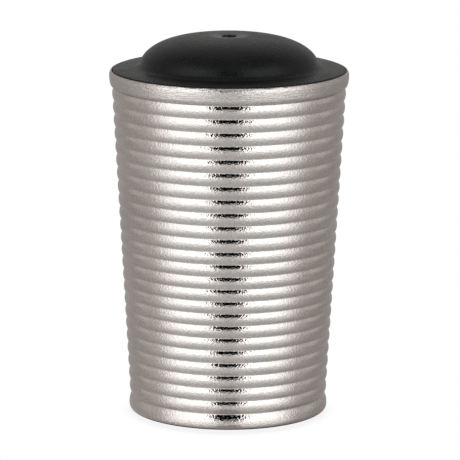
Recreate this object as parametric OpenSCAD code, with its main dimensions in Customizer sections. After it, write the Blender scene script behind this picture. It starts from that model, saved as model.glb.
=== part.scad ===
// Pepper shaker: a ribbed metal sleeve round a moulded cup, closed by a domed push-in cap.
// Millimetres, +Z up, with the origin at the middle of the foot ring's underside.

/* [Ribbed sleeve] */
// Number of full ribs between the foot band and the rim band
rib_count = 24; // [12:1:32]
// Height of the lowest rib
bottom_rib_h = 2.4; // [2:0.1:3.5]
// Height of the highest rib; the ribs between grow evenly
top_rib_h = 2.6; // [2:0.1:3.5]
// How far the crest of a rib stands out from its two valleys
rib_height = 0.45; // [0.4:0.05:0.9]
// Diameter across the highest valley
top_valley_d = 44.1; // [40:0.1:60]
// Diameter across the lowest valley
bottom_valley_d = 37.2; // [35:0.1:60]
// How far the rim band stands out from the valley below it
rim_bulge = 0.95; // [0.9:0.05:1.6]
// Radius of the rim band's belly, seen in section
rim_roll_r = 5; // [3:0.1:8]
// Radius of the curl that takes the belly into the valley below it
rim_curl_r = 1.3; // [0.9:0.05:1.8]
// Angle below the crest at which the curl begins, in degrees
rim_curl_angle = 10; // [5:1:20]
// Height of the rim's edge above the crest
rim_top_h = 1.55; // [1.2:0.05:2]
// Radius of the rim's upper outer edge
rim_edge_r = 0.4; // [0.2:0.05:0.45]
// How far the foot band stands out from the valley above it
foot_bulge = 0.6; // [0.5:0.05:1.2]
// Radius of the foot band's roll, seen in section
foot_roll_r = 3.5; // [2.3:0.1:5]
// How far the sleeve's lower edge is tucked in from the foot band's crest
foot_tuck = 0.2; // [0.1:0.05:0.8]
// Outer radius of the bend where the lip turns in
bend_r = 0.8; // [0.8:0.05:1.4]
// Thickness of the metal sheet
sheet_t = 0.5; // [0.4:0.05:0.7]
// Width of the lip turned in under the base plate
lip_w = 2.6; // [2:0.1:5]

/* [Base] */
// Thickness of the base plate
plate_t = 0.8; // [0.5:0.1:1.5]
// Diameter of the raised panel in the middle of the base plate
panel_d = 24; // [12:0.5:26]
// Height of the raised panel
panel_h = 0.8; // [0.4:0.1:1.5]
// Width of the panel's sloping edge
panel_slope_w = 1; // [0.5:0.1:2]
// Width of the foot ring
foot_ring_w = 2.4; // [1.5:0.1:4]
// How far the foot ring stands below the sleeve
foot_ring_proud = 0.6; // [0.2:0.1:1]
// Bevel on the foot ring's lower edges
foot_ring_bevel = 0.2; // [0.1:0.05:0.3]

/* [Inner cup] */
// Thickness of the cup's wall
cup_wall = 1.2; // [0.8:0.1:2]
// Thickness of the cup's floor
cup_floor_t = 1.2; // [0.8:0.1:2]
// Radius between the cup's wall and floor
cup_corner_r = 2; // [0.5:0.1:4]
// Length of the straight mouth that the cap plugs into
mouth_len = 11; // [10:0.5:16]
// Bevel at the top of the mouth
mouth_bevel = 0.4; // [0.2:0.1:0.8]
// Radius of the bead that snaps under the sleeve's highest valley, seen in section
snap_bead_r = 0.55; // [0.4:0.05:0.7]
// How far the bead reaches past the inside of that valley
snap_bite = 0.25; // [0.1:0.05:0.35]

/* [Cap] */
// Diameter of the dome at its foot
dome_d = 34.2; // [26:0.1:38]
// Height of the dome's crown above the rim
dome_rise = 6.55; // [5:0.05:12]
// Power that flattens the dome's crown
dome_crown_power = 3.1; // [2:0.1:4]
// Power that rounds the dome's side
dome_side_power = 1.7; // [1.6:0.1:3]
// Radius between the dome and the flange
dome_fillet_r = 0.5; // [0.2:0.05:0.9]
// Slope of the flange, in degrees
flange_slope = 6; // [2:0.5:10]
// How far the flange's edge stands above the rim
flange_rise = 0.1; // [-0.3:0.05:0.2]
// Thickness of the flange at its edge
flange_t = 1.05; // [0.8:0.05:1.2]
// Radius of the flange's upper edge
flange_edge_r = 0.4; // [0.2:0.05:0.6]
// Thickness of the soft skin on the dome
skin_t = 1.6; // [1.2:0.1:2]
// Diameter of the pour hole
pour_d = 2.9; // [2:0.1:4]
// Diameter of the dimple round the pour hole
dimple_d = 6.6; // [5:0.1:10]
// Depth of the dimple
dimple_depth = 0.5; // [0.2:0.05:0.8]
// Thickness of the rigid core under the skin
core_t = 1.2; // [0.8:0.1:1.6]
// Thickness of the core's flange
core_flange_t = 0.9; // [0.7:0.05:1]
// Length of the core's skirt below the cup's rim
skirt_len = 9; // [8:0.5:10]
// Thickness of the core's skirt
skirt_wall = 1.9; // [1.6:0.1:2.5]
// Bevel at the foot of the skirt
skirt_bevel = 0.6; // [0.2:0.1:1]

/* [Seal ring] */
// Height of the seal ring
seal_h = 3.6; // [2.6:0.1:4.5]
// Depth of the seal's groove in the skirt
groove_depth = 1; // [0.8:0.05:1.2]
// Distance from the cup's rim down to the groove
groove_below_rim = 2.5; // [1.5:0.1:3]
// Radius of the seal's rounded fins, seen in section
fin_r = 0.35; // [0.2:0.05:0.5]
// How far the seal's back lies inside the face of the skirt
seal_back_inset = 0.15; // [0.1:0.05:0.3]

/* [Clearances] */
// Gap between the sleeve's valleys and the cup
cup_gap = 0.3; // [0.2:0.05:0.4]
// Gap between the base plate and the sleeve's lowest valley
plate_gap = 0.2; // [0.1:0.05:0.4]
// Gap between the foot ring and the sleeve's lip
foot_ring_gap = 0.3; // [0.1:0.05:0.6]
// Gap between the base plate's panel and the cup's floor
panel_gap = 0.3; // [0.1:0.1:1]
// Gap between the cap's flange and the rim
rim_gap = 0.15; // [0.1:0.05:0.3]
// Gap between the core's skirt and the cup's mouth
skirt_gap = 0.2; // [0.15:0.05:0.3]
// Running fit between the seal's fins and the cup's mouth
seal_fit = 0.05; // [0.02:0.01:0.1]
// Gap round the seal in its groove
groove_gap = 0.05; // [0.02:0.01:0.1]
// Bond line between the skin and the core
bond_gap = 0.05; // [0.02:0.01:0.1]

/* [Hidden] */
$fn = 128;
// Straight steps along a dome curve, along a small arc and across the dimple
dome_steps = 24;
arc_steps = 10;
dimple_steps = 6;
// How far a cutting or filling shape runs past the face it ends at
overrun = 1;

// Length of the rim band below its crest: the belly to the start of the curl, then the curl to the valley
rim_curl_run = rim_roll_r - rim_curl_r;
rim_valley_angle = acos((rim_roll_r - rim_bulge - rim_curl_run * cos(rim_curl_angle)) / rim_curl_r);
rim_below_crest = rim_curl_run * sin(rim_curl_angle) + rim_curl_r * sin(rim_valley_angle);

// Lengths of the foot band above and below its crest, from the roll and the sideways drops
foot_above_crest = roll_height(foot_roll_r, foot_bulge);
foot_below_crest = roll_height(foot_roll_r, foot_tuck);

// Heights of the sleeve
sleeve_bottom_z = foot_ring_proud;
foot_crest_z = sleeve_bottom_z + foot_below_crest;
rib_bottom_z = foot_crest_z + foot_above_crest;
rib_top_z = rib_z(rib_count);
rim_crest_z = rib_top_z + rim_below_crest;
rim_z = rim_crest_z + rim_top_h;

// Radii of the sleeve
bottom_valley_r = bottom_valley_d / 2;
top_valley_r = top_valley_d / 2;
valley_slope = (top_valley_r - bottom_valley_r) / (rib_top_z - rib_bottom_z);
rim_crest_r = top_valley_r + rim_bulge;
rim_open_r = rim_crest_r - sheet_t;
foot_crest_r = bottom_valley_r + foot_bulge;
sleeve_edge_r = foot_crest_r - foot_tuck;
lip_open_r = sleeve_edge_r - lip_w;

// The rim band's curl and its rounded edge both meet the belly smoothly
rim_centre = [rim_crest_r - rim_roll_r, rim_crest_z];
rim_curl_centre = rim_centre + rim_curl_run * unit(-rim_curl_angle);
rim_edge_angle = asin((rim_top_h - rim_edge_r) / (rim_roll_r - rim_edge_r));
rim_edge_centre = rim_centre + (rim_roll_r - rim_edge_r) * unit(rim_edge_angle);

// The lip's bend meets the foot band's roll smoothly, at an angle below the crest
foot_centre = [foot_crest_r - foot_roll_r, foot_crest_z];
bend_angle = -asin((foot_below_crest - bend_r) / (foot_roll_r - bend_r));
bend_centre = foot_centre + (foot_roll_r - bend_r) * unit(bend_angle);

// Length of the leaning wall for each unit of height
wall_length = sqrt(1 + pow(valley_slope, 2));

// Base plate and foot ring
plate_z = sleeve_bottom_z + sheet_t;
plate_top_z = plate_z + plate_t;
plate_r = bottom_valley_r - sheet_t - plate_gap;
panel_r = panel_d / 2;
foot_ring_r = lip_open_r - foot_ring_gap;

// Cap and cup, from the rim down
skin_under_z = rim_z + flange_rise - flange_t;
core_top_z = skin_under_z - bond_gap;
cup_rim_z = core_top_z - core_flange_t;
skirt_bottom_z = cup_rim_z - skirt_len;
mouth_bottom_z = cup_rim_z - mouth_len;
cup_floor_z = plate_top_z + panel_h + panel_gap;
cup_inside_z = cup_floor_z + cup_floor_t;
mouth_r = cup_inner_r(mouth_bottom_z);
snap_bead_z = rib_top_z - top_rib_h / 2;
snap_bead_reach = valley_r(rib_top_z) - sheet_t + snap_bite;

// Flange and dome of the cap
flange_r = rim_open_r - rim_gap;
pour_r = pour_d / 2;
dimple_r = dimple_d / 2;
dome_r = dome_d / 2;
flange_edge_centre = [flange_r - flange_edge_r, rim_z + flange_rise - flange_edge_r];
flange_edge_top = flange_edge_centre + flange_edge_r * [sin(flange_slope), cos(flange_slope)];
fillet_end_r = dome_r + dome_fillet_r * (1 - sin(flange_slope));
fillet_end_z = flange_edge_top[1] + (flange_edge_top[0] - fillet_end_r) * tan(flange_slope);
dome_z = fillet_end_z + dome_fillet_r * cos(flange_slope);
dome_h = rim_z + dome_rise - dome_z;

// Core, skirt and seal
core_outer_inset = skin_t + bond_gap;
core_inner_inset = core_outer_inset + core_t;
core_flange_r = cup_outer_r(cup_rim_z);
skirt_r = mouth_r - skirt_gap;
skirt_inner_r = skirt_r - skirt_wall;
groove_top_z = cup_rim_z - groove_below_rim;
groove_h = seal_h + 2 * groove_gap;
groove_r = skirt_r - groove_depth;
seal_reach = mouth_r - seal_fit;
seal_z = groove_top_z - groove_gap - seal_h;

// Height of a roll of the given radius over which its face moves sideways by the given drop
function roll_height(roll_r, drop) = sqrt(2 * roll_r * drop - pow(drop, 2));

// Height of a valley, counted from the lowest, with ribs that grow evenly
function rib_z(i) =
    rib_bottom_z + i * bottom_rib_h + (top_rib_h - bottom_rib_h) * i * (i - 1) / (2 * (rib_count - 1));

// Radius of the arc of a rib, from valley to valley, over a chord along the leaning wall
function rib_arc_r(chord) = (pow(chord / 2, 2) + pow(rib_height, 2)) / (2 * rib_height);

// Radius of the line through the sleeve's valleys
function valley_r(z) = bottom_valley_r + valley_slope * (z - rib_bottom_z);

// Radii of the cup's tapered wall, which follows the sleeve's valleys
function cup_outer_r(z) = valley_r(z) - sheet_t - cup_gap;
function cup_inner_r(z) = cup_outer_r(z) - cup_wall;

// Points of an arc between two angles
function arc(centre, r, from, to) =
    [for (i = [0:arc_steps]) centre + r * unit(from + (to - from) * i / arc_steps)];
function unit(angle) = [cos(angle), sin(angle)];

// Dome curve at a depth below the cap's outer face, as its height over a radius
function dome_height(r, inset) =
    dome_z + (dome_h - inset) * pow(1 - pow(r / (dome_r - inset), dome_crown_power), 1 / dome_side_power);

// Angle at which the dome curve reaches a radius
function dome_angle(r, inset) = asin(pow(r / (dome_r - inset), dome_crown_power / 2));
function dome_point(angle, inset) =
    [(dome_r - inset) * pow(sin(angle), 2 / dome_crown_power),
     dome_z + (dome_h - inset) * pow(cos(angle), 2 / dome_side_power)];

// Points of the dome curve from a radius near the axis out to the dome's foot
function dome_curve(r, inset) =
    let (from = dome_angle(r, inset))
    concat(
        [[r, dome_height(r, inset)]],
        [for (i = [1:dome_steps - 1]) dome_point(from + (90 - from) * i / dome_steps, inset)],
        [[dome_r - inset, dome_z]]
    );

// Points of the dimple, which sinks smoothly from the dome curve to the pour hole
function dimple_curve() =
    [for (i = [0:dimple_steps - 1])
        let (r = pour_r + (dimple_r - pour_r) * i / dimple_steps)
        [r, dome_height(r, 0) - dimple_depth * (1 + cos(180 * r / dimple_r)) / 2]];

function reversed(points) = [for (i = [len(points) - 1:-1:0]) points[i]];

// One disc for each rib, shrunk by the inset, which together draw the scalloped wall
module rib_discs(inset) {
    for (i = [0:rib_count - 1]) {
        z = (rib_z(i) + rib_z(i + 1)) / 2;
        arc_r = rib_arc_r((rib_z(i + 1) - rib_z(i)) * wall_length);
        depth = (arc_r - rib_height) / wall_length;
        translate([valley_r(z) - depth, z + depth * valley_slope])
            circle(arc_r - inset);
    }
}

// Section of the foot band and its bend, filled to the axis
module foot_band(inset) {
    polygon(concat(
        [[0, sleeve_bottom_z + inset]],
        arc(bend_centre, bend_r - inset, -90, bend_angle),
        arc(foot_centre, foot_roll_r - inset, bend_angle, 90),
        [[0, foot_crest_z + foot_roll_r - inset]]
    ));
}

// Section of the rim band from the axis up along its curl and belly to an angle, then along more points
module rim_band(inset, end_angle, more) {
    polygon(concat(
        [[0, rim_curl_centre[1] - rim_curl_r + inset]],
        arc(rim_curl_centre, rim_curl_r - inset, -90, -rim_curl_angle),
        arc(rim_centre, rim_roll_r - inset, -rim_curl_angle, end_angle),
        more
    ));
}

// Section of the sleeve's outer face, filled to the axis
module sleeve_outline() {
    rim_edge = arc(rim_edge_centre, rim_edge_r, rim_edge_angle, 90);
    foot_band(0);
    rib_discs(0);
    rim_band(0, rim_edge_angle, concat(rim_edge, [[0, rim_z]]));
}

// Section of the space inside the sleeve, above its lip
module sleeve_hollow() {
    low_z = rib_bottom_z - sheet_t;
    high_z = rib_top_z + sheet_t;
    foot_band(sheet_t);
    rib_discs(sheet_t);
    rim_band(sheet_t, 0, [[rim_open_r, rim_z + overrun], [0, rim_z + overrun]]);
    polygon([
        [0, low_z],
        [valley_r(low_z) - sheet_t, low_z],
        [valley_r(high_z) - sheet_t, high_z],
        [0, high_z]
    ]);
}

// Metal sleeve with its ribs pressed out of thin sheet
module ribbed_sleeve() {
    color("#a89f98")
        rotate_extrude()
            difference() {
                sleeve_outline();
                sleeve_hollow();
                translate([0, sleeve_bottom_z - overrun])
                    square([lip_open_r, sheet_t + 2 * overrun]);
            }
}

// Metal disc on the sleeve's lip, with a raised panel in its middle
module base_plate() {
    color("#9c948e")
        rotate_extrude()
            polygon([
                [0, plate_z + panel_h],
                [panel_r, plate_z + panel_h],
                [panel_r + panel_slope_w, plate_z],
                [plate_r, plate_z],
                [plate_r, plate_top_z],
                [panel_r + panel_slope_w, plate_top_z],
                [panel_r, plate_top_z + panel_h],
                [0, plate_top_z + panel_h]
            ]);
}

// Soft ring under the base plate, which the shaker stands on
module foot_ring() {
    color("#232324")
        rotate_extrude()
            polygon([
                [foot_ring_r - foot_ring_w + foot_ring_bevel, 0],
                [foot_ring_r - foot_ring_bevel, 0],
                [foot_ring_r, foot_ring_bevel],
                [foot_ring_r, plate_z],
                [foot_ring_r - foot_ring_w, plate_z],
                [foot_ring_r - foot_ring_w, foot_ring_bevel]
            ]);
}

// Moulded cup that stands on the base plate and snaps under the highest valley
module inner_cup() {
    corner_z = cup_inside_z + cup_corner_r;
    corner_r = cup_inner_r(corner_z) - cup_corner_r;
    color("#e6e3dc")
        rotate_extrude() {
            polygon(concat(
                [[0, cup_floor_z],
                 [cup_inner_r(plate_top_z), cup_floor_z],
                 [cup_inner_r(plate_top_z), plate_top_z],
                 [cup_outer_r(plate_top_z), plate_top_z],
                 [cup_outer_r(cup_rim_z), cup_rim_z],
                 [mouth_r + mouth_bevel, cup_rim_z],
                 [mouth_r, cup_rim_z - mouth_bevel],
                 [mouth_r, mouth_bottom_z]],
                arc([corner_r, corner_z], cup_corner_r, 0, -90),
                [[0, cup_inside_z]]
            ));
            translate([snap_bead_reach - snap_bead_r, snap_bead_z])
                circle(snap_bead_r);
        }
}

// Soft black dome and flange, with the pour hole in a dimple
module cap_skin() {
    inner_foot_r = dome_r - skin_t;
    color("#1b1b1d")
        rotate_extrude()
            polygon(concat(
                dimple_curve(),
                dome_curve(dimple_r, 0),
                arc([dome_r + dome_fillet_r, dome_z], dome_fillet_r, 180, 270 - flange_slope),
                arc(flange_edge_centre, flange_edge_r, 90 - flange_slope, 0),
                [[flange_r, skin_under_z],
                 [inner_foot_r, skin_under_z]],
                reversed(dome_curve(pour_r, skin_t))
            ));
}

// Rigid core under the skin: a thin dome, a flange on the cup's rim and a plug skirt
module cap_core() {
    color("#2c2c2e")
        rotate_extrude()
            difference() {
                polygon(concat(
                    dome_curve(pour_r, core_outer_inset),
                    [[dome_r - core_outer_inset, core_top_z],
                     [core_flange_r, core_top_z],
                     [core_flange_r, cup_rim_z],
                     [skirt_r, cup_rim_z],
                     [skirt_r, skirt_bottom_z + skirt_bevel],
                     [skirt_r - skirt_bevel, skirt_bottom_z],
                     [skirt_inner_r, skirt_bottom_z],
                     [skirt_inner_r, cup_rim_z - core_flange_t],
                     [dome_r - core_inner_inset, core_top_z]],
                    reversed(dome_curve(pour_r, core_inner_inset))
                ));
                translate([groove_r, groove_top_z - groove_h])
                    square([groove_depth + overrun, groove_h]);
            }
}

// Ring in the skirt's groove, with two rounded fins that rub in the cup's mouth
module seal_ring() {
    back_r = groove_r + groove_gap;
    fin_centre_r = seal_reach - fin_r;
    color("#3a3a3c")
        rotate_extrude() {
            translate([back_r, seal_z])
                square([skirt_r - seal_back_inset - back_r, seal_h]);
            for (fin_z = [seal_z + seal_h / 4, seal_z + seal_h * 3 / 4]) {
                translate([back_r, fin_z - fin_r])
                    square([fin_centre_r - back_r, 2 * fin_r]);
                translate([fin_centre_r, fin_z])
                    circle(fin_r);
            }
        }
}

ribbed_sleeve();
base_plate();
foot_ring();
inner_cup();
cap_skin();
cap_core();
seal_ring();
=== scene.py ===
import math

import bpy
from mathutils import Matrix, Vector


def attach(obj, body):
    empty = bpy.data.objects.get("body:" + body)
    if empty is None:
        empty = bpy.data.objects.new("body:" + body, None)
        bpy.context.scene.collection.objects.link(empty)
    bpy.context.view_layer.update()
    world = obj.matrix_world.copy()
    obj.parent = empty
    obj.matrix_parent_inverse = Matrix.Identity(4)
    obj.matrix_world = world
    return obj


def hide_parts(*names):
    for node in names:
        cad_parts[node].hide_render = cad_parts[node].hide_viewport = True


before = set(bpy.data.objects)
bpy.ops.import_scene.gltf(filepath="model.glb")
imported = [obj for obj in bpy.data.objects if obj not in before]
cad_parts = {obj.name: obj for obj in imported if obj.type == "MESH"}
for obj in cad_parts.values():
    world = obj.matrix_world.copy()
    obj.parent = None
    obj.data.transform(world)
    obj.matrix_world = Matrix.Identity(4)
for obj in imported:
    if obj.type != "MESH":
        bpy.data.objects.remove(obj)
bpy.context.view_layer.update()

MM = 0.001

# Metal sleeve in millimetres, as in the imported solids: ribs, rim band, foot band and lip
RIB_COUNT = 24
RIB_LOW, RIB_HIGH = 2.4, 2.6
RIB_DRIFT = (0.166, 0.234, 0.141)
RIB_HEIGHT = 0.45
TOP_VALLEY_R, BOTTOM_VALLEY_R = 22.05, 18.6
SHEET = 0.5
RIM_BULGE, RIM_ROLL, RIM_TOP_H = 0.95, 5.0, 1.55
RIM_CURL_R, RIM_CURL_ANGLE = 1.3, math.radians(10)
FOOT_BULGE, FOOT_ROLL, FOOT_TUCK, FOOT_PROUD = 0.6, 3.5, 0.2, 0.6
BEND_R, LIP_W = 0.8, 2.6

# Base plate and foot ring
PLATE_T, PLATE_GAP = 0.8, 0.2
PANEL_R, PANEL_H, PANEL_SLOPE_W = 12.0, 0.8, 1.0
RING_W, RING_BEVEL, RING_GAP = 2.4, 0.2, 0.3

# Inner cup
CUP_GAP, CUP_WALL, CUP_CORNER = 0.3, 1.2, 2.0
CUP_FLOOR, CUP_FLOOR_GAP = 1.2, 0.3
MOUTH_LEN, MOUTH_BEVEL = 11.0, 0.4
BEAD_R, BEAD_BITE = 0.55, 0.25

# Cap: flange, dome, plug and seal
FLANGE_RISE, FLANGE_T, FLANGE_EDGE_R, FLANGE_GAP = 0.1, 1.05, 0.4, 0.15
FLANGE_SLOPE = math.radians(6)
DOME_R, DOME_RISE, DOME_FILLET = 17.1, 6.55, 0.5
CROWN_POWER, SIDE_POWER = 3.1, 1.7
POUR_R = 1.45
BOND, SKIN_T, CORE_T, CORE_FLANGE_T = 0.05, 1.6, 1.2, 0.9
SKIRT_LEN, SKIRT_WALL, SKIRT_BEVEL, SKIRT_GAP = 9.0, 1.9, 0.6, 0.2
GROOVE_DEPTH, GROOVE_BELOW, GROOVE_GAP = 1.0, 2.5, 0.05
SEAL_H, SEAL_FIT, SEAL_INSET, FIN_R = 3.6, 0.05, 0.15, 0.35
FIN_PLACES = (0.25, 0.75)

# Forms that only these meshes have: filled creases, worn rim edge, wide dimple and blend, soft corners
CREASE_FILL, CREASE_REACH = 0.05, 0.26
RIM_WORN_R, RIM_WORN_ROLL, RIM_WORN_DROP, RIM_LIP_R = 1.2, 8.4, 0.97, 0.1
LIP_BEVEL = 0.1
DIMPLE_R, DIMPLE_DEPTH, DOME_BLEND = 4.2, 0.28, 1.5
HOLE_LIP, HOLE_LIP_INSET = 0.05, 0.3
PLATE_SOFT, RING_SOFT, CUP_SOFT, CORE_SOFT, SEAL_SOFT = 0.35, 0.15, 0.12, 0.12, 0.1

# Fineness of the meshes
SEGMENTS = 192
RIB_STEPS, CREASE_STEPS, INNER_STEPS = 9, 5, 96
BEND_STEPS, FOOT_STEPS = 8, 14
CURL_STEPS, ROLL_STEPS, WORN_STEPS, LIP_STEPS = 12, 10, 12, 6
DOME_STEPS, HOLLOW_STEPS, SINK_STEPS, BLEND_STEPS, FLANGE_STEPS = 72, 32, 14, 14, 8
SMALL_STEPS = 10
CORNER_STEPS, CORNER_SHARE = 4, 0.4
NEARLY_STRAIGHT = math.radians(80)
SHARP_ANGLE = math.radians(40)
TINY, SAME_POINT, LEAST_SLOPE = 1e-6, 1e-4, 1e-3


def roll_height(roll, drop):
    """Height over which an upright roll of that radius falls back by the drop."""
    return math.sqrt(2 * roll * drop - drop * drop)


def on_circle(centre, radius, angle):
    """Point of a circle in the section plane, where a point is a radius and a height."""
    return (centre[0] + radius * math.cos(angle), centre[1] + radius * math.sin(angle))


# Heights and radii that follow from the sizes
SLEEVE_Z = FOOT_PROUD
FOOT_CREST_Z = SLEEVE_Z + roll_height(FOOT_ROLL, FOOT_TUCK)
FOOT_CREST_R = BOTTOM_VALLEY_R + FOOT_BULGE
FOOT_CENTRE = (FOOT_CREST_R - FOOT_ROLL, FOOT_CREST_Z)
BEND_ANGLE = -math.asin((FOOT_CREST_Z - SLEEVE_Z - BEND_R) / (FOOT_ROLL - BEND_R))
BEND_CENTRE = on_circle(FOOT_CENTRE, FOOT_ROLL - BEND_R, BEND_ANGLE)
LIP_OPEN_R = FOOT_CREST_R - FOOT_TUCK - LIP_W
RIB_BOTTOM_Z = FOOT_CREST_Z + roll_height(FOOT_ROLL, FOOT_BULGE)
RIB_TOP_Z = RIB_BOTTOM_Z + RIB_COUNT * (RIB_LOW + RIB_HIGH) / 2
SLOPE = (TOP_VALLEY_R - BOTTOM_VALLEY_R) / (RIB_TOP_Z - RIB_BOTTOM_Z)
LEAN = math.atan(SLOPE)

RIM_CURL_RUN = RIM_ROLL - RIM_CURL_R
RIM_CURL_IN = RIM_ROLL - RIM_BULGE - RIM_CURL_RUN * math.cos(RIM_CURL_ANGLE)
RIM_CURL_Z = RIB_TOP_Z + RIM_CURL_R * math.sin(math.acos(RIM_CURL_IN / RIM_CURL_R))
RIM_CREST_Z = RIM_CURL_Z + RIM_CURL_RUN * math.sin(RIM_CURL_ANGLE)
RIM_CREST_R = TOP_VALLEY_R + RIM_BULGE
RIM_CENTRE = (RIM_CREST_R - RIM_ROLL, RIM_CREST_Z)
RIM_OPEN_R = RIM_CREST_R - SHEET
RIM_Z = RIM_CREST_Z + RIM_TOP_H
WORN_CENTRE = (RIM_CREST_R - RIM_WORN_R, RIM_Z - RIM_WORN_DROP)
WORN_ROLL_CENTRE = (RIM_CREST_R - RIM_WORN_ROLL, RIM_Z - RIM_WORN_DROP)

PLATE_Z = SLEEVE_Z + SHEET
PLATE_TOP_Z = PLATE_Z + PLATE_T
PLATE_R = BOTTOM_VALLEY_R - SHEET - PLATE_GAP
RING_R = LIP_OPEN_R - RING_GAP
FLANGE_R = RIM_OPEN_R - FLANGE_GAP
SKIN_UNDER_Z = RIM_Z + FLANGE_RISE - FLANGE_T
CORE_TOP_Z = SKIN_UNDER_Z - BOND
CUP_RIM_Z = CORE_TOP_Z - CORE_FLANGE_T
CUP_FLOOR_Z = PLATE_TOP_Z + PANEL_H + CUP_FLOOR_GAP
CUP_INSIDE_Z = CUP_FLOOR_Z + CUP_FLOOR


def arc(centre, radius, start, end, steps):
    """Points of an arc in the section plane, angles in radians."""
    turns = [start + (end - start) * i / steps for i in range(steps + 1)]
    return [on_circle(centre, radius, a) for a in turns]


def softened(points, radius):
    """The same closed section with each real corner rounded by up to the given radius."""
    out = []
    count = len(points)
    for i, corner in enumerate(points):
        p, a, b = (Vector(q) for q in (corner, points[i - 1], points[(i + 1) % count]))
        before, after = a - p, b - p
        if p.x < TINY or min(before.length, after.length) < TINY:
            out.append((p.x, p.y))
            continue
        half = before.angle(after) / 2
        if half > NEARLY_STRAIGHT:
            out.append((p.x, p.y))
            continue
        longest = CORNER_SHARE * min(before.length, after.length)
        reach = min(radius / max(math.tan(half), LEAST_SLOPE), longest)
        p0, p2 = p + before.normalized() * reach, p + after.normalized() * reach
        for k in range(CORNER_STEPS + 1):
            t = k / CORNER_STEPS
            q = p0 * (1 - t) ** 2 + p * (2 * t * (1 - t)) + p2 * t ** 2
            out.append((q.x, q.y))
    return out


def tidy_section(section):
    """The section without repeated points, in the order that turns the faces outward."""
    clean = []
    for point in section:
        if not clean or math.dist(clean[-1], point) > SAME_POINT:
            clean.append(point)
    turn = sum(a[0] * b[1] - b[0] * a[1] for a, b in zip(clean, clean[1:] + clean[:1]))
    if turn < 0:
        clean.reverse()
    return clean


def lathe(name, section):
    """A closed section in millimetres turned about the Z axis into a smooth mesh in metres."""
    clean = tidy_section(section)
    vertices, rings = [], []
    for r, z in clean:
        if r < TINY:
            rings.append([len(vertices)])
            vertices.append((0.0, 0.0, z * MM))
            continue
        rings.append(list(range(len(vertices), len(vertices) + SEGMENTS)))
        for k in range(SEGMENTS):
            a = 2 * math.pi * k / SEGMENTS
            vertices.append((r * MM * math.cos(a), r * MM * math.sin(a), z * MM))
    pairs = list(zip(rings, rings[1:]))
    if max(clean[0][0], clean[-1][0]) >= TINY:
        pairs.append((rings[-1], rings[0]))
    faces = []
    for low, high in pairs:
        for k in range(SEGMENTS):
            n = (k + 1) % SEGMENTS
            if len(low) == 1:
                faces.append((low[0], high[n], high[k]))
            elif len(high) == 1:
                faces.append((low[k], low[n], high[0]))
            else:
                faces.append((low[k], low[n], high[n], high[k]))
    mesh = bpy.data.meshes.new(name)
    mesh.from_pydata(vertices, [], faces)
    mesh.update()
    mesh.shade_smooth()
    mesh.set_sharp_from_angle(angle=SHARP_ANGLE)
    obj = bpy.data.objects.new(name, mesh)
    bpy.context.scene.collection.objects.link(obj)
    return obj


# Section of the metal sleeve
def valley_r(z):
    """Radius of the cone through the solids' valleys."""
    return BOTTOM_VALLEY_R + SLOPE * (z - RIB_BOTTOM_Z)


def crease_r(z):
    """Radius of the creases, which the plating fills slightly."""
    return valley_r(z) + CREASE_FILL


def valley_z(i):
    """Height of a valley counted from the lowest, with the slow drift of hand-set rolls."""
    even = RIB_BOTTOM_Z + i * RIB_LOW + (RIB_HIGH - RIB_LOW) * i * (i - 1) / (2 * (RIB_COUNT - 1))
    waves = enumerate(RIB_DRIFT, start=1)
    return even + sum(size * math.sin(math.pi * k * i / RIB_COUNT) for k, size in waves)


def rib_circle(i):
    """Centre and radius of the arc of one rib."""
    z0, z1 = valley_z(i), valley_z(i + 1)
    chord = (z1 - z0) / math.cos(LEAN)
    height = RIB_HEIGHT - CREASE_FILL
    radius = (chord * chord / 4 + height ** 2) / (2 * height)
    depth = radius - height
    mid = (z0 + z1) / 2
    return (crease_r(mid) - depth * math.cos(LEAN), mid + depth * math.sin(LEAN)), radius


def rib_arc(i):
    """Outer face of one rib, which ends short of the creases on both sides."""
    centre, radius = rib_circle(i)
    ends = [(crease_r(valley_z(k)), valley_z(k)) for k in (i, i + 1)]
    low, high = (math.atan2(z - centre[1], r - centre[0]) for r, z in ends)
    trim = CREASE_REACH / radius
    return arc(centre, radius, low + trim, high - trim, RIB_STEPS)


def bent(start, corner, end, steps):
    """Points between a start and an end, on a curve in place of the corner where they would meet."""
    out = []
    for k in range(1, steps):
        t = k / steps
        weights = ((1 - t) ** 2, 2 * t * (1 - t), t ** 2)
        parts = list(zip(weights, (start, corner, end)))
        out.append((sum(w * q[0] for w, q in parts), sum(w * q[1] for w, q in parts)))
    return out


def foot_band():
    """The bend at the bottom and the rolled foot band, up to the lowest crease."""
    bend = arc(BEND_CENTRE, BEND_R, -math.pi / 2, BEND_ANGLE, BEND_STEPS)
    top = math.asin((RIB_BOTTOM_Z - FOOT_CREST_Z) / FOOT_ROLL)
    return bend + arc(FOOT_CENTRE, FOOT_ROLL, BEND_ANGLE, top - CREASE_REACH / FOOT_ROLL, FOOT_STEPS)


def rim_curl():
    """The curl under the rim, from the highest crease out to the rim's roll."""
    roll_end = on_circle(WORN_ROLL_CENTRE, RIM_WORN_ROLL, -RIM_CURL_ANGLE)
    centre = on_circle(roll_end, RIM_CURL_R, math.pi - RIM_CURL_ANGLE)
    valley = math.acos((TOP_VALLEY_R - centre[0]) / RIM_CURL_R)
    return arc(centre, RIM_CURL_R, CREASE_REACH / RIM_CURL_R - valley, -RIM_CURL_ANGLE, CURL_STEPS)


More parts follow.
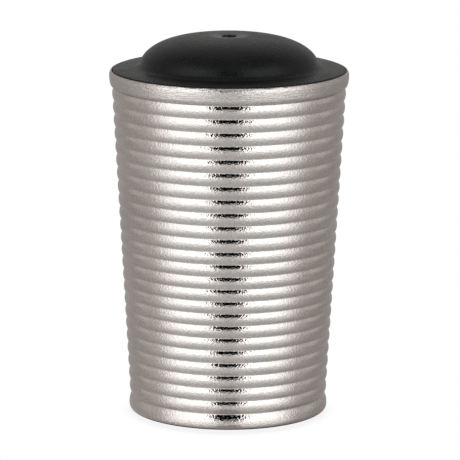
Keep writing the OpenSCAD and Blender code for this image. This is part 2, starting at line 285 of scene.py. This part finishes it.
def rim_edge():
    """The rim's long roll, its worn upper edge, and the small lip at its opening."""
    roll = arc(WORN_ROLL_CENTRE, RIM_WORN_ROLL, -RIM_CURL_ANGLE, 0, ROLL_STEPS)
    lip_run = RIM_WORN_R - RIM_LIP_R
    top = math.acos((RIM_OPEN_R + RIM_LIP_R - WORN_CENTRE[0]) / lip_run)
    worn = arc(WORN_CENTRE, RIM_WORN_R, 0, top, WORN_STEPS)
    lip_centre = on_circle(WORN_CENTRE, lip_run, top)
    return roll + worn + arc(lip_centre, RIM_LIP_R, top, math.pi, LIP_STEPS)


def inner_wall():
    """Inner face of the sheet from the rim down to the lip, one thickness inside the rolled shape."""
    curl_centre = on_circle(RIM_CENTRE, RIM_CURL_RUN, -RIM_CURL_ANGLE)
    circles = [(FOOT_CENTRE, FOOT_ROLL), (curl_centre, RIM_CURL_R)]
    circles += [rib_circle(i) for i in range(RIB_COUNT)]
    roll_end_z = RIM_CREST_Z - (RIM_ROLL - SHEET) * math.sin(RIM_CURL_ANGLE)
    out = []
    for k in range(INNER_STEPS + 1):
        z = RIM_CREST_Z + (PLATE_Z - RIM_CREST_Z) * k / INNER_STEPS
        if z < BEND_CENTRE[1]:
            across = (BEND_R - SHEET) ** 2 - (z - BEND_CENTRE[1]) ** 2
            out.append((BEND_CENTRE[0] + math.sqrt(max(across, 0)), z))
            continue
        reach = []
        if RIB_BOTTOM_Z - SHEET <= z <= RIB_TOP_Z + SHEET:
            reach.append(valley_r(z) - SHEET)
        rolls = circles + [(RIM_CENTRE, RIM_ROLL)] if z > roll_end_z else circles
        for (centre_r, centre_z), radius in rolls:
            if abs(z - centre_z) < radius - SHEET:
                reach.append(centre_r + math.sqrt((radius - SHEET) ** 2 - (z - centre_z) ** 2))
        out.append((max(reach), z))
    return out


def sleeve_section():
    """The whole sheet: foot and ribs outside, rim, inside, and the lip turned in below."""
    outer = foot_band()
    bands = [rib_arc(i) for i in range(RIB_COUNT)] + [rim_curl()]
    for i, band in enumerate(bands):
        crease = (crease_r(valley_z(i)), valley_z(i))
        outer += bent(outer[-1], crease, band[0], CREASE_STEPS) + band
    lip = [(LIP_OPEN_R + LIP_BEVEL, PLATE_Z), (LIP_OPEN_R, PLATE_Z - LIP_BEVEL)]
    lip += [(LIP_OPEN_R, SLEEVE_Z + LIP_BEVEL), (LIP_OPEN_R + LIP_BEVEL, SLEEVE_Z)]
    return outer + rim_edge() + inner_wall() + lip


# Sections of the other pieces
def cup_outer_r(z):
    """Radius of the cup's outside, which follows the sleeve's taper."""
    return valley_r(z) - SHEET - CUP_GAP


MOUTH_R = cup_outer_r(CUP_RIM_Z - MOUTH_LEN) - CUP_WALL
SKIRT_R = MOUTH_R - SKIRT_GAP
SKIRT_INNER_R = SKIRT_R - SKIRT_WALL
SKIRT_BOTTOM_Z = CUP_RIM_Z - SKIRT_LEN
GROOVE_TOP_Z = CUP_RIM_Z - GROOVE_BELOW
GROOVE_LOW_Z = GROOVE_TOP_Z - SEAL_H - 2 * GROOVE_GAP
GROOVE_R = SKIRT_R - GROOVE_DEPTH


def plate_section():
    """Pressed disc with a raised panel in the middle."""
    slope_r = PANEL_R + PANEL_SLOPE_W
    under = [(0, PLATE_Z + PANEL_H), (PANEL_R, PLATE_Z + PANEL_H), (slope_r, PLATE_Z)]
    rim = [(PLATE_R, PLATE_Z), (PLATE_R, PLATE_TOP_Z)]
    over = [(slope_r, PLATE_TOP_Z), (PANEL_R, PLATE_TOP_Z + PANEL_H), (0, PLATE_TOP_Z + PANEL_H)]
    return softened(under + rim + over, PLATE_SOFT)


def ring_section():
    """Soft ring under the plate, which stands out below the sleeve."""
    low, high = RING_R - RING_W, RING_R
    points = [(low + RING_BEVEL, 0), (high - RING_BEVEL, 0), (high, RING_BEVEL), (high, PLATE_Z)]
    return softened(points + [(low, PLATE_Z), (low, RING_BEVEL)], RING_SOFT)


def cup_section():
    """Cup with a recess under its floor, a bead that snaps into the sleeve, and a straight mouth."""
    foot_r = cup_outer_r(PLATE_TOP_Z)
    recess_r = foot_r - CUP_WALL
    outer = [(0, CUP_FLOOR_Z), (recess_r, CUP_FLOOR_Z), (recess_r, PLATE_TOP_Z), (foot_r, PLATE_TOP_Z)]
    bead_z = RIB_TOP_Z - RIB_HIGH / 2
    bead = (valley_r(RIB_TOP_Z) - SHEET + BEAD_BITE - BEAD_R, bead_z)
    reach = math.acos((cup_outer_r(bead_z) - bead[0]) / BEAD_R)
    outer += arc(bead, BEAD_R, -reach, reach, SMALL_STEPS)
    mouth = [(cup_outer_r(CUP_RIM_Z), CUP_RIM_Z), (MOUTH_R + MOUTH_BEVEL, CUP_RIM_Z)]
    mouth += [(MOUTH_R, CUP_RIM_Z - MOUTH_BEVEL), (MOUTH_R, CUP_RIM_Z - MOUTH_LEN)]
    corner_z = CUP_INSIDE_Z + CUP_CORNER
    corner = (cup_outer_r(corner_z) - CUP_WALL - CUP_CORNER, corner_z)
    inside = arc(corner, CUP_CORNER, 0, -math.pi / 2, SMALL_STEPS) + [(0, CUP_INSIDE_Z)]
    return softened(outer + mouth + inside, CUP_SOFT)


def dome_frame():
    """Height of the dome's foot in the solids, and the centre of the flange's rounded edge."""
    edge = (FLANGE_R - FLANGE_EDGE_R, RIM_Z + FLANGE_RISE - FLANGE_EDGE_R)
    top_r, top_z = on_circle(edge, FLANGE_EDGE_R, math.pi / 2 - FLANGE_SLOPE)
    fillet_r = DOME_R + DOME_FILLET * (1 - math.sin(FLANGE_SLOPE))
    fillet_z = top_z + (top_r - fillet_r) * math.tan(FLANGE_SLOPE)
    return fillet_z + DOME_FILLET * math.cos(FLANGE_SLOPE), edge


DOME_Z, FLANGE_EDGE = dome_frame()
DOME_H = RIM_Z + DOME_RISE - DOME_Z


def dome_height(r, inset):
    """Height of the dome at a radius, or of a copy of it that is smaller by the inset."""
    u = (r / (DOME_R - inset)) ** CROWN_POWER
    return DOME_Z + (DOME_H - inset) * (1 - u) ** (1 / SIDE_POWER)


def dome_curve(r, inset, steps):
    """Points of the dome curve from a radius near the axis out to its foot."""
    start = math.asin((r / (DOME_R - inset)) ** (CROWN_POWER / 2))
    out = [(r, dome_height(r, inset))]
    for i in range(1, steps + 1):
        a = start + (math.pi / 2 - start) * i / steps
        ring = (DOME_R - inset) * math.sin(a) ** (2 / CROWN_POWER)
        rise = (DOME_H - inset) * max(math.cos(a), 0.0) ** (2 / SIDE_POWER)
        out.append((ring, DOME_Z + rise))
    return out


def dimple_height(r):
    """Height of the skin in the dimple round the pour hole."""
    return dome_height(r, 0) - DIMPLE_DEPTH * (1 + math.cos(math.pi * r / DIMPLE_R)) / 2


def skin_section():
    """Soft dome with its hole, dimple, blend and flange, and the hollow under it."""
    hole_z, lip_inset = dimple_height(POUR_R), HOLE_LIP_INSET * HOLE_LIP
    outer = [(POUR_R, hole_z - HOLE_LIP), (POUR_R + lip_inset, hole_z - lip_inset)]
    sink_r = POUR_R + HOLE_LIP
    sink = [sink_r + (DIMPLE_R - sink_r) * i / SINK_STEPS for i in range(SINK_STEPS)]
    outer += [(r, dimple_height(r)) for r in sink]
    foot_z = DOME_Z - DOME_FILLET
    dome = dome_curve(DIMPLE_R, 0, DOME_STEPS)
    outer += [point for point in dome if point[1] > foot_z + DOME_BLEND]
    blend_z = foot_z - (DOME_BLEND - DOME_FILLET) * math.tan(FLANGE_SLOPE)
    blend_end = (DOME_R + DOME_BLEND, blend_z)
    outer += bent(outer[-1], (DOME_R, foot_z), blend_end, BLEND_STEPS) + [blend_end]
    outer += arc(FLANGE_EDGE, FLANGE_EDGE_R, math.pi / 2 - FLANGE_SLOPE, 0, FLANGE_STEPS)
    under = [(FLANGE_R, SKIN_UNDER_Z), (DOME_R - SKIN_T, SKIN_UNDER_Z)]
    return outer + under + dome_curve(POUR_R, SKIN_T, HOLLOW_STEPS)[::-1]


def core_section():
    """Rigid plug under the skin, with its flange, its skirt and the groove of the seal."""
    outer_inset = SKIN_T + BOND
    inner_inset = outer_inset + CORE_T
    flange_r = cup_outer_r(CUP_RIM_Z)
    skirt = [(DOME_R - outer_inset, CORE_TOP_Z), (flange_r, CORE_TOP_Z)]
    skirt += [(flange_r, CUP_RIM_Z), (SKIRT_R, CUP_RIM_Z)]
    skirt += [(SKIRT_R, GROOVE_TOP_Z), (GROOVE_R, GROOVE_TOP_Z)]
    skirt += [(GROOVE_R, GROOVE_LOW_Z), (SKIRT_R, GROOVE_LOW_Z)]
    skirt += [(SKIRT_R, SKIRT_BOTTOM_Z + SKIRT_BEVEL), (SKIRT_R - SKIRT_BEVEL, SKIRT_BOTTOM_Z)]
    skirt += [(SKIRT_INNER_R, SKIRT_BOTTOM_Z), (SKIRT_INNER_R, CUP_RIM_Z - CORE_FLANGE_T)]
    skirt += [(DOME_R - inner_inset, CORE_TOP_Z)]
    outer = dome_curve(POUR_R, outer_inset, HOLLOW_STEPS)
    inner = dome_curve(POUR_R, inner_inset, HOLLOW_STEPS)[::-1]
    return softened(outer + skirt + inner, CORE_SOFT)


def seal_section():
    """Ring in the groove, with two round fins."""
    back_r, face_r = GROOVE_R + GROOVE_GAP, SKIRT_R - SEAL_INSET
    low = GROOVE_TOP_Z - GROOVE_GAP - SEAL_H
    tip_r = MOUTH_R - SEAL_FIT - FIN_R
    points = [(back_r, low), (face_r, low)]
    for share in FIN_PLACES:
        z = low + SEAL_H * share
        fin = arc((tip_r, z), FIN_R, -math.pi / 2, math.pi / 2, SMALL_STEPS)
        points += [(face_r, z - FIN_R)] + fin + [(face_r, z + FIN_R)]
    return softened(points + [(face_r, low + SEAL_H), (back_r, low + SEAL_H)], SEAL_SOFT)


# Shader nodes
FALLING = (1.0, 0.0)
WHITE = (1, 1, 1, 1)
LEVEL = (1, 1, 0)


class Nodes:
    """Short calls for making and linking shader nodes in one tree."""

    def __init__(self, tree):
        self.tree = tree
        tree.nodes.clear()

    def put(self, socket, value):
        if isinstance(value, bpy.types.NodeSocket):
            self.tree.links.new(value, socket)
        else:
            socket.default_value = value

    def make(self, kind, inputs=None, **settings):
        node = self.tree.nodes.new(kind)
        for key, value in settings.items():
            setattr(node, key, value)
        for key, value in (inputs or {}).items():
            self.put(node.inputs[key], value)
        return node

    def math(self, operation, a, b=0.0):
        return self.make("ShaderNodeMath", {0: a, 1: b}, operation=operation).outputs[0]

    def product(self, a, b):
        return self.math("MULTIPLY", a, b)

    def total(self, a, b):
        return self.math("ADD", a, b)

    def rest(self, share):
        """What the share leaves of one."""
        return self.math("SUBTRACT", 1.0, share)

    def blend(self, share, a, b):
        """The first value times the share, plus the second times the rest."""
        return self.total(self.product(a, share), self.product(b, self.rest(share)))

    def ramp(self, value, span, to=(0.0, 1.0), smooth=True):
        """The first value of to below the span, the second above it, and a change between inside it."""
        kind = "SMOOTHSTEP" if smooth else "LINEAR"
        inputs = {"Value": value, "From Min": span[0], "From Max": span[1]}
        inputs.update({"To Min": to[0], "To Max": to[1]})
        return self.make("ShaderNodeMapRange", inputs, interpolation_type=kind).outputs["Result"]

    def noise(self, where, size_mm, detail, roughness=0.5):
        inputs = {"Vector": where, "Scale": 1 / (size_mm * MM), "Detail": detail, "Roughness": roughness}
        return self.make("ShaderNodeTexNoise", inputs).outputs["Fac"]

    def flattened(self, where, times):
        """Coordinates that make a pattern flatter by the given times."""
        inputs = {"Vector": where, "Scale": (1.0, 1.0, times)}
        return self.make("ShaderNodeMapping", inputs).outputs["Vector"]

    def split(self, vector):
        return self.make("ShaderNodeSeparateXYZ", {0: vector}).outputs

    def length(self, vector):
        return self.make("ShaderNodeVectorMath", {0: vector}, operation="LENGTH").outputs["Value"]

    def mix(self, factor, a, b):
        inputs = {"Factor": factor, "A": a, "B": b}
        return self.make("ShaderNodeMix", inputs, data_type="RGBA").outputs["Result"]

    def mix_shader(self, factor, a, b):
        return self.make("ShaderNodeMixShader", {0: factor, 1: a, 2: b}).outputs[0]


def new_material(name):
    """A material with a Principled shader, and what is needed to add to it."""
    material = bpy.data.materials.new(name)
    material.use_nodes = True
    nodes = Nodes(material.node_tree)
    where = nodes.make("ShaderNodeTexCoord").outputs["Object"]
    shader = nodes.make("ShaderNodeBsdfPrincipled")
    nodes.make("ShaderNodeOutputMaterial", {"Surface": shader.outputs["BSDF"]})
    return material, nodes, where, shader


def add_bump(nodes, shader, height, distance_mm):
    inputs = {"Height": height, "Strength": 1.0, "Distance": distance_mm * MM}
    bump = nodes.make("ShaderNodeBump", inputs)
    nodes.put(shader.inputs["Normal"], bump.outputs["Normal"])


# Metal: clouds and grain, how much each counts, and the rubbed band with its streaks and scratches
METAL_CLOUD_MM, METAL_CLOUD_DETAIL = 9.0, 3.0
METAL_GRAIN_DETAIL, METAL_FINE_DETAIL = 1.0, 0.0
METAL_CLOUD_SHARE, METAL_GRAIN_SHARE = 0.35, 0.65
METAL_SPAN = (0.3, 0.7)
FINE_SIZE, FINE_DEPTH = 0.6, 0.35
ROLLED = 1.5
STREAK_MM, STREAK_DETAIL, STREAK_FLAT = 2.5, 3.0, 7.0
STREAK_SPAN, STREAK_EFFECT = (0.35, 0.65), (0.6, 1.4)
SCRATCH_MM, SCRATCH_DETAIL, SCRATCH_FLAT, SCRATCH_DEPTH = 2.0, 2.0, 12.0, 2.0


def metal(name, light, dark, grain_mm, bump_mm, rough, matt_span=None, matt_rough=0.0):
    """Blasted and plated sheet: fine grain and slight clouding, with an optional matter, rubbed band.

    The band begins over the heights of matt_span, in metres, and matt_rough is the roughness it adds.
    """
    material, nodes, where, shader = new_material(name)
    cloud = nodes.noise(where, METAL_CLOUD_MM, METAL_CLOUD_DETAIL)
    rolled = nodes.flattened(where, ROLLED)
    grain = nodes.noise(rolled, grain_mm, METAL_GRAIN_DETAIL)
    fine = nodes.noise(rolled, grain_mm * FINE_SIZE, METAL_FINE_DETAIL)
    mixed = nodes.total(nodes.product(cloud, METAL_CLOUD_SHARE), nodes.product(grain, METAL_GRAIN_SHARE))
    nodes.put(shader.inputs["Base Color"], nodes.mix(nodes.ramp(mixed, METAL_SPAN), dark, light))
    shader.inputs["Metallic"].default_value = 1.0
    roughness = nodes.ramp(grain, METAL_SPAN, rough, smooth=False)
    relief = nodes.total(grain, nodes.product(fine, FINE_DEPTH))
    if matt_span:
        z = nodes.split(where)["Z"]
        streak = nodes.noise(nodes.flattened(where, STREAK_FLAT), STREAK_MM, STREAK_DETAIL)
        rubbed = nodes.ramp(streak, STREAK_SPAN, STREAK_EFFECT, smooth=False)
        band = nodes.ramp(z, matt_span, (0.0, matt_rough))
        roughness = nodes.total(roughness, nodes.product(band, rubbed))
        scratch = nodes.noise(nodes.flattened(where, SCRATCH_FLAT), SCRATCH_MM, SCRATCH_DETAIL)
        depth = nodes.ramp(z, matt_span, (0.0, SCRATCH_DEPTH))
        relief = nodes.total(relief, nodes.product(scratch, depth))
    nodes.put(shader.inputs["Roughness"], roughness)
    add_bump(nodes, shader, relief, bump_mm)
    return material


# Rubber and plastic: clouds and grain, and the spans in which they change the tone and the gloss
MOULD_CLOUD_DETAIL, MOULD_CLOUD_ROUGH = 4.0, 0.6
MOULD_GRAIN_DETAIL = 2.0
MOULD_SHARE = 0.5
MOULD_TONE_SPAN, MOULD_GLOSS_SPAN = (0.35, 0.7), (0.35, 0.65)
PLAIN_SPECULAR = 0.5


def polymer(name, light, dark, cloud_mm, grain_mm, bump_mm, rough,
            specular=PLAIN_SPECULAR, tint=WHITE, worn_span=None, worn_rough=1.0):
    """Moulded rubber or plastic: clouded tone, uneven gloss and a fine moulded grain.

    A patch round the axis may be polished: worn_span is where it ends, in metres from the axis, and
    worn_rough is the share of the roughness that is left in it.
    """
    material, nodes, where, shader = new_material(name)
    cloud = nodes.noise(where, cloud_mm, MOULD_CLOUD_DETAIL, MOULD_CLOUD_ROUGH)
    grain = nodes.noise(where, grain_mm, MOULD_GRAIN_DETAIL)
    nodes.put(shader.inputs["Base Color"], nodes.mix(nodes.ramp(cloud, MOULD_TONE_SPAN), dark, light))
    shader.inputs["Specular IOR Level"].default_value = specular
    shader.inputs["Specular Tint"].default_value = tint
    uneven = nodes.total(nodes.product(cloud, MOULD_SHARE), nodes.product(grain, MOULD_SHARE))
    roughness = nodes.ramp(uneven, MOULD_GLOSS_SPAN, rough, smooth=False)
    if worn_span:
        level = nodes.make("ShaderNodeVectorMath", {0: where, 1: LEVEL}, operation="MULTIPLY").outputs[0]
        worn = nodes.ramp(nodes.length(level), worn_span, (worn_rough, 1.0))
        roughness = nodes.product(roughness, worn)
    nodes.put(shader.inputs["Roughness"], roughness)
    add_bump(nodes, shader, grain, bump_mm)
    return material


MATT_RISE = 0.6
MATT_SPAN = (RIB_TOP_Z * MM, (RIB_TOP_Z + MATT_RISE) * MM)
WORN_SPAN = (0.002, 0.0045)
NICKEL = metal(
    "satin_nickel", light=(0.71, 0.63, 0.585, 1), dark=(0.555, 0.49, 0.453, 1),
    grain_mm=0.45, bump_mm=0.05, rough=(0.035, 0.08), matt_span=MATT_SPAN, matt_rough=0.17)
PLAIN_STEEL = metal(
    "plain_steel", light=(0.6, 0.57, 0.54, 1), dark=(0.5, 0.475, 0.45, 1),
    grain_mm=0.4, bump_mm=0.02, rough=(0.28, 0.4))
CAP_RUBBER = polymer(
    "cap_rubber", light=(0.007, 0.007, 0.0075, 1), dark=(0.0035, 0.0035, 0.0037, 1),
    cloud_mm=6.0, grain_mm=0.5, bump_mm=0.08, rough=(0.24, 0.38),
    specular=0.16, tint=(1.0, 0.97, 0.945, 1), worn_span=WORN_SPAN, worn_rough=0.3)
FOOT_RUBBER = polymer(
    "foot_rubber", light=(0.04, 0.04, 0.04, 1), dark=(0.02, 0.02, 0.02, 1),
    cloud_mm=3.0, grain_mm=0.3, bump_mm=0.02, rough=(0.6, 0.75))
CUP_PLASTIC = polymer(
    "cup_plastic", light=(0.80, 0.78, 0.73, 1), dark=(0.74, 0.71, 0.65, 1),
    cloud_mm=7.0, grain_mm=0.3, bump_mm=0.006, rough=(0.35, 0.5))
CORE_PLASTIC = polymer(
    "core_plastic", light=(0.04, 0.04, 0.042, 1), dark=(0.025, 0.025, 0.026, 1),
    cloud_mm=5.0, grain_mm=0.25, bump_mm=0.008, rough=(0.4, 0.55))
SILICONE = polymer(
    "seal_silicone", light=(0.26, 0.26, 0.27, 1), dark=(0.2, 0.2, 0.21, 1),
    cloud_mm=2.0, grain_mm=0.2, bump_mm=0.006, rough=(0.35, 0.5))

# Pieces, each in place of its node
PIECES = [
    ("sleeve_metal", sleeve_section, NICKEL, "ribbed_sleeve", "body", "satin_nickel"),
    ("base_disc", plate_section, PLAIN_STEEL, "base_plate", "body", "base_metal"),
    ("stand_ring", ring_section, FOOT_RUBBER, "foot_ring", "body", "foot_rubber"),
    ("cup_moulding", cup_section, CUP_PLASTIC, "inner_cup", "body", "cup_plastic"),
    ("cap_dome", skin_section, CAP_RUBBER, "cap_skin", "cap", "cap_rubber"),
    ("cap_plug", core_section, CORE_PLASTIC, "cap_core", "cap", "core_plastic"),
    ("seal_fins", seal_section, SILICONE, "seal_ring", "cap", "seal_silicone"),
]
for name, section, material, node, body, slot in PIECES:
    piece = lathe(name, section())
    piece.data.materials.append(material)
    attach(piece, body)
    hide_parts(node)

# Floor: white to the camera, with a faint painted contact shadow, and pale paper to scattered light,
# painted darker as shadow close to the foot.
# Mirrored rays see it as a painted glow close to the foot, with painted shadow right at the foot, and
# pass it farther out.
# Under the shaker it is clear, so the underside is lit. Spans of distance are in metres from the axis.
FLOOR_R, FLOOR_GAP = 3.0, 0.00005
PAPER_SHADOW_SPAN = (0.0189, 0.0205)
PAPER_SHADOW, PAPER_LIGHT = (0.3, 0.28, 0.26, 1), (0.74, 0.73, 0.72, 1)
SIDE_TO_SIDE = (-0.8, 0.8)
NEAR_LIGHT = (0.43, 0.3)
NEAR_TINT = (1, 0.98, 0.96, 1)
NEAR_SHADOW_SPAN = (0.0184, 0.0195)
NEAR_GLOW = 0.32
NEAR_GLOW_SPAN = (0.0192, 0.0212)
NEAR_GLOW_BEGINS, NEAR_GLOW_ENDS = (0.08, 0.25), (0.4, 0.7)
PASSED_SPAN = (0.0205, 0.0235)
FRONT_REACH, FRONT_SPAN = 0.004, (0.05, 0.2)
UNDER_SPAN = (0.017, 0.0182)
SHADOW_REACH, SHADOW_LIGHT, SHADOW_SPAN, SHADOW_SAMPLES = 0.004, 0.9, (0.3, 0.9), 16
floor_mesh = bpy.data.meshes.new("floor")
corners = [(FLOOR_R * x, FLOOR_R * y, -FLOOR_GAP) for x, y in ((-1, -1), (1, -1), (1, 1), (-1, 1))]
floor_mesh.from_pydata(corners, [], [(0, 1, 2, 3)])
floor = bpy.data.objects.new("floor", floor_mesh)
bpy.context.scene.collection.objects.link(floor)
floor_material = bpy.data.materials.new("floor_paper")
floor_material.use_nodes = True
nodes = Nodes(floor_material.node_tree)
spot = nodes.make("ShaderNodeTexCoord").outputs["Object"]
away = nodes.length(spot)
outward = nodes.make("ShaderNodeVectorMath", {0: spot}, operation="NORMALIZE").outputs[0]
aside = nodes.split(outward)["X"]
turned = nodes.math("ABSOLUTE", aside)
path = nodes.make("ShaderNodeLightPath").outputs
clear = nodes.make("ShaderNodeBsdfTransparent").outputs[0]

# Painted shadow: the paper's colour turns darker towards the foot
shade = nodes.mix(nodes.ramp(away, PAPER_SHADOW_SPAN), PAPER_SHADOW, PAPER_LIGHT)
paper = nodes.make("ShaderNodeBsdfDiffuse", {"Color": shade}).outputs[0]
# Painted reflection for mirrored rays: an emitted glow near the foot, brighter on the left, with painted
# shadow where it is cut off right at the foot
near_glow = nodes.ramp(turned, NEAR_GLOW_BEGINS, (0.0, NEAR_GLOW))
near_glow = nodes.product(near_glow, nodes.ramp(turned, NEAR_GLOW_ENDS, FALLING))
near_glow = nodes.product(near_glow, nodes.ramp(away, NEAR_GLOW_SPAN))
near = nodes.total(near_glow, nodes.ramp(aside, SIDE_TO_SIDE, NEAR_LIGHT))
near = nodes.product(near, nodes.ramp(away, NEAR_SHADOW_SPAN))
lit = nodes.make("ShaderNodeEmission", {"Color": NEAR_TINT, "Strength": near}).outputs[0]
sooner = nodes.ramp(turned, FRONT_SPAN, (FRONT_REACH, 0.0))
passed = nodes.ramp(nodes.math("SUBTRACT", away, sooner), PASSED_SPAN)
passed = nodes.product(path["Is Glossy Ray"], passed)
under = nodes.ramp(away, UNDER_SPAN, FALLING)
# Painted contact shadow: the white that the camera sees dims where the shaker hides the sky
open_sky = nodes.make("ShaderNodeAmbientOcclusion", {"Distance": SHADOW_REACH}, samples=SHADOW_SAMPLES)
shadowed_white = nodes.ramp(open_sky.outputs["AO"], SHADOW_SPAN, (SHADOW_LIGHT, 1.0))
white = nodes.make("ShaderNodeEmission", {"Color": WHITE, "Strength": shadowed_white}).outputs[0]
backs = nodes.make("ShaderNodeNewGeometry").outputs["Backfacing"]

surface = nodes.mix_shader(path["Is Glossy Ray"], paper, lit)
surface = nodes.mix_shader(passed, surface, clear)
surface = nodes.mix_shader(under, surface, clear)
surface = nodes.mix_shader(path["Is Camera Ray"], surface, white)
surface = nodes.mix_shader(backs, surface, clear)
nodes.make("ShaderNodeOutputMaterial", {"Surface": surface})
floor_mesh.materials.append(floor_material)


def degrees(low, high):
    """Two angles in degrees as a span in radians."""
    return math.radians(low), math.radians(high)


# Studio light: a large soft glow on each side in front, a dark strip between them overhead, a pale
# sweep below, and the shaker's own shadow on the sweep behind it
ROOM_LIGHT = 0.41
GLOW_LIGHT, GLOW_LIFT, GLOW_SPAN = 1.97, 0.45, (-0.06, 0.84)
SIDE_LIGHT, SIDE_BEGINS, SIDE_ENDS, SIDE_RISE = 0.2, (-0.2, 0.25), (0.35, 0.7), degrees(15, 35)
OVERHEAD_LIGHT, OVERHEAD_RISE = 0.12, degrees(48, 66)
FRONT_LIGHT, FRONT_RISE = 0.64, degrees(3, 21)
CEILING_LIGHT, CEILING_RISE = 0.7, degrees(43, 54)
BEHIND_SPAN = (0.1, 0.6)
STRIP_EDGE, STRIP_WIDENING, STRIP_WIDENS_FROM = (0.265, 0.335), 0.24, math.radians(20)
SWEEP_LIGHT, SWEEP_SPAN = (0.37, 0.59), (-0.6, 0.4)
SWEEP_GLOW, SWEEP_GLOW_SPAN, SWEEP_GLOW_RISE = 0.9, (0.7, 1.0), degrees(-58, -2)
SWEEP_GLOW_TURN = math.radians(42)
SWEEP_BALANCE = (1.1, 0.96)
BACK_SHADOW, BACK_SHADOW_SPAN, BACK_SHADOW_RISE = 0.6, (-0.97, -0.72), degrees(-55, -15)
HORIZON = degrees(-8, 9)
WARM, COOL, COOL_SPAN = (1.0, 0.98, 0.968, 1), (0.933, 1.0, 1.025, 1), (0.5, 0.95)
world = bpy.data.worlds.new("studio")
bpy.context.scene.world = world
world.use_nodes = True
nodes = Nodes(world.node_tree)
way = nodes.split(nodes.make("ShaderNodeTexCoord").outputs["Generated"])
rise = nodes.math("ARCSINE", way["Z"])
level = nodes.math("COSINE", rise)
aside = nodes.math("DIVIDE", nodes.math("ABSOLUTE", way["X"]), level)
towards = nodes.math("DIVIDE", nodes.product(way["Y"], -1.0), level)

facing = nodes.math("SUBTRACT", nodes.product(way["Z"], GLOW_LIFT), way["Y"])
side = nodes.ramp(way["Y"], SIDE_BEGINS, (0.0, SIDE_LIGHT))
side = nodes.product(side, nodes.ramp(way["Y"], SIDE_ENDS, FALLING))
side = nodes.product(side, nodes.ramp(rise, SIDE_RISE, FALLING))
glow = nodes.total(nodes.ramp(facing, GLOW_SPAN, (ROOM_LIGHT, GLOW_LIGHT)), side)
glow = nodes.product(glow, nodes.ramp(rise, OVERHEAD_RISE, (1.0, OVERHEAD_LIGHT)))
strip = nodes.ramp(rise, FRONT_RISE, (FRONT_LIGHT, 0.0))
strip = nodes.total(strip, nodes.ramp(rise, CEILING_RISE, (0.0, CEILING_LIGHT)))
strip = nodes.blend(nodes.ramp(way["Y"], BEHIND_SPAN), ROOM_LIGHT, strip)
widening = nodes.product(nodes.math("SUBTRACT", rise, STRIP_WIDENS_FROM), STRIP_WIDENING)
beside = nodes.ramp(nodes.math("SUBTRACT", aside, widening), STRIP_EDGE)
upper = nodes.blend(beside, glow, strip)

sideways = nodes.product(aside, math.sin(SWEEP_GLOW_TURN))
sideways = nodes.total(sideways, nodes.product(towards, math.cos(SWEEP_GLOW_TURN)))
height = nodes.ramp(rise, SWEEP_GLOW_RISE, smooth=False)
sweep = nodes.ramp(sideways, SWEEP_GLOW_SPAN, (0.0, SWEEP_GLOW))
sweep = nodes.product(sweep, nodes.product(height, height))
sweep = nodes.total(sweep, nodes.ramp(towards, SWEEP_SPAN, SWEEP_LIGHT))
sweep = nodes.product(sweep, nodes.ramp(way["X"], SIDE_TO_SIDE, SWEEP_BALANCE))
cast = nodes.ramp(towards, BACK_SHADOW_SPAN, (BACK_SHADOW, 0.0))
cast = nodes.product(cast, nodes.ramp(rise, BACK_SHADOW_RISE, FALLING))
sweep = nodes.product(sweep, nodes.rest(cast))

light = nodes.blend(nodes.ramp(rise, HORIZON), upper, sweep)
tint = nodes.mix(nodes.ramp(sideways, COOL_SPAN), WARM, COOL)
studio = nodes.make("ShaderNodeBackground", {"Color": tint, "Strength": light}).outputs[0]
backdrop = nodes.make("ShaderNodeBackground", {"Color": WHITE, "Strength": 1.0}).outputs[0]
seen = nodes.make("ShaderNodeLightPath").outputs["Is Camera Ray"]
nodes.make("ShaderNodeOutputWorld", {"Surface": nodes.mix_shader(seen, studio, backdrop)})

# Camera at the photograph's place
EYE = Vector((0.0, -709.7, 181.97)) * MM
AIM = Vector((0.28, 0.0, 35.64)) * MM
ROLL = 0.0038
SENSOR_MM, LENS_MM = 36.0, 293.4
CLIP_START, CLIP_END = 0.01, 20.0
camera_data = bpy.data.cameras.new("camera")
camera_data.sensor_width = SENSOR_MM
camera_data.lens = LENS_MM
camera_data.clip_start = CLIP_START
camera_data.clip_end = CLIP_END
camera = bpy.data.objects.new("camera", camera_data)
bpy.context.scene.collection.objects.link(camera)
back = (EYE - AIM).normalized()
right = Vector((0, 0, 1)).cross(back).normalized()
up = back.cross(right)
tilted_right = right * math.cos(ROLL) + up * math.sin(ROLL)
tilted_up = up * math.cos(ROLL) - right * math.sin(ROLL)
axes = Matrix((tilted_right, tilted_up, back)).transposed()
camera.matrix_world = Matrix.Translation(EYE) @ axes.to_4x4()
bpy.context.scene.camera = camera
bpy.context.scene.view_settings.view_transform = "Standard"
